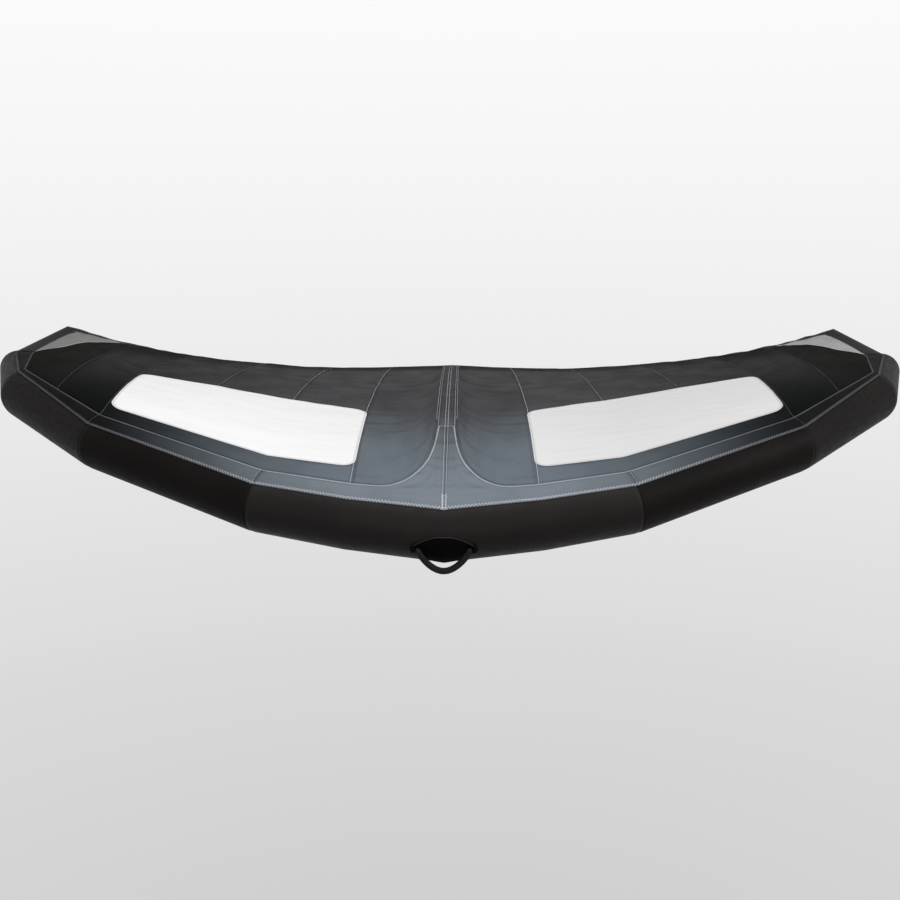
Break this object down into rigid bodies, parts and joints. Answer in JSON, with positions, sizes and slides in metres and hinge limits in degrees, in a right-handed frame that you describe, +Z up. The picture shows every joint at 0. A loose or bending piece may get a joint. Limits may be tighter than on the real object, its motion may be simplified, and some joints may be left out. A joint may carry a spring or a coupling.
{
  "type": "wingfoil wing",
  "caption": "Hand-held inflatable wing for foiling: a swept leading-edge tube, a centre strut with handles underneath, and a cloth canopy with clear windows",
  "frame": {"origin": "carry point: the underside of the strut, midway between the feet of the front handle", "axes": "+X along the span, to the right of a viewer who faces the leading edge (nodes named right lie there), +Y back along the strut, +Z up"},
  "size_m": [3.1072, 2.1553, 0.4959],
  "materials": {
    "dacron": "black woven polyester, slight sheen",
    "ripstop_slate": "slate grey ripstop",
    "ripstop_dark": "green-black ripstop",
    "film": "clear window film, glossy and slightly wrinkled",
    "silver_cloth": "pale grey reinforcing cloth",
    "hem_tape": "black sewn hem",
    "bladder_film": "translucent bladder film",
    "webbing": "black woven webbing",
    "foam": "black moulded grip foam, matt",
    "pad": "matt black scuff pad",
    "valve_plastic": "black moulded plastic",
    "seal_rubber": "grey rubber",
    "hose_silicone": "grey silicone",
    "clamp_plastic": "pale moulded plastic",
    "slider_metal": "plain metal"
  },
  "bodies": {
    "wing": {"le_casing_centre": "dacron", "le_casing_mid_left": "dacron", "le_casing_mid_right": "dacron", "le_casing_outer_left": "dacron", "le_casing_outer_right": "dacron", "le_casing_tip_left": "dacron", "le_casing_tip_right": "dacron", "strut_casing": "dacron", "strut_end_cap": "dacron", "le_bladder": "bladder_film", "strut_bladder": "bladder_film", "canopy_scoop_left": "ripstop_slate", "canopy_scoop_right": "ripstop_slate", "canopy_band": "ripstop_slate", "canopy_inner_left": "ripstop_slate", "canopy_inner_right": "ripstop_slate", "canopy_rear_a_left": "ripstop_slate", "canopy_rear_a_right": "ripstop_slate", "canopy_rear_b_left": "ripstop_dark", "canopy_rear_b_right": "ripstop_dark", "canopy_rear_c_left": "ripstop_dark", "canopy_rear_c_right": "ripstop_dark", "canopy_front_left": "ripstop_dark", "canopy_front_right": "ripstop_dark", "canopy_outer_a_left": "ripstop_dark", "canopy_outer_a_right": "ripstop_dark", "canopy_outer_b_left": "ripstop_dark", "canopy_outer_b_right": "ripstop_dark", "le_strip_mid_left": "ripstop_dark", "le_strip_mid_right": "ripstop_dark", "le_strip_outer_left": "ripstop_dark", "le_strip_outer_right": "ripstop_dark", "le_strip_tip_left": "ripstop_dark", "le_strip_tip_right": "ripstop_dark", "window_left": "film", "window_right": "film", "tip_patch_left": "silver_cloth", "tip_patch_right": "silver_cloth", "edge_hem_left": "hem_tape", "edge_hem_right": "hem_tape", "front_handle_patch": "webbing", "rear_handle_patch": "webbing", "le_handle_patch": "pad", "valve_body": "valve_plastic", "hose_port_le": "valve_plastic", "hose_port_strut": "valve_plastic", "air_hose": "hose_silicone", "hose_clamp": "clamp_plastic", "le_zip": "webbing", "leash_loop": "webbing"},
    "le_handle": {"le_handle": "foam"},
    "front_handle": {"front_handle_strap": "webbing", "front_handle_grip": "foam"},
    "rear_handle": {"rear_handle_strap": "webbing", "rear_handle_grip": "foam"},
    "valve_plunger": {"valve_plunger": "seal_rubber"},
    "valve_cap": {"valve_cap": "valve_plastic"},
    "zip_slider": {"zip_slider": "slider_metal"}
  },
  "joints": [
    {"name": "le_handle_swing", "type": "hinge", "parent": "wing", "child": "le_handle", "pos_m": [0, -0.59509, -0.10885], "axis": [1, 0, 0], "range_deg": [-110, 22]},
    {"name": "front_handle_swing", "type": "hinge", "parent": "wing", "child": "front_handle", "pos_m": [0, 0, -0.01517], "axis": [0, 0.9959, 0.09], "range_deg": [-60, 60]},
    {"name": "rear_handle_swing", "type": "hinge", "parent": "wing", "child": "rear_handle", "pos_m": [0, 0.6, -0.00422], "axis": [0, 0.9996, -0.0268], "range_deg": [-60, 60]},
    {"name": "valve_plunger_press", "type": "slide", "parent": "wing", "child": "valve_plunger", "axis": [0.0119, 0.5042, -0.8635], "range_m": [-0.003, 0], "stiffness_N_per_m": 60, "springref_m": 0.003},
    {"name": "valve_cap_swing", "type": "hinge", "parent": "wing", "child": "valve_cap", "pos_m": [0.17577, -0.43453, -0.14858], "axis": [0, -0.8636, -0.5042], "range_deg": [0, 150]},
    {"name": "zip_slider_run", "type": "slide", "parent": "wing", "child": "zip_slider", "axis": [-0.9917, 0.0775, 0.1025], "range_m": [0, 0.172]}
  ]
}
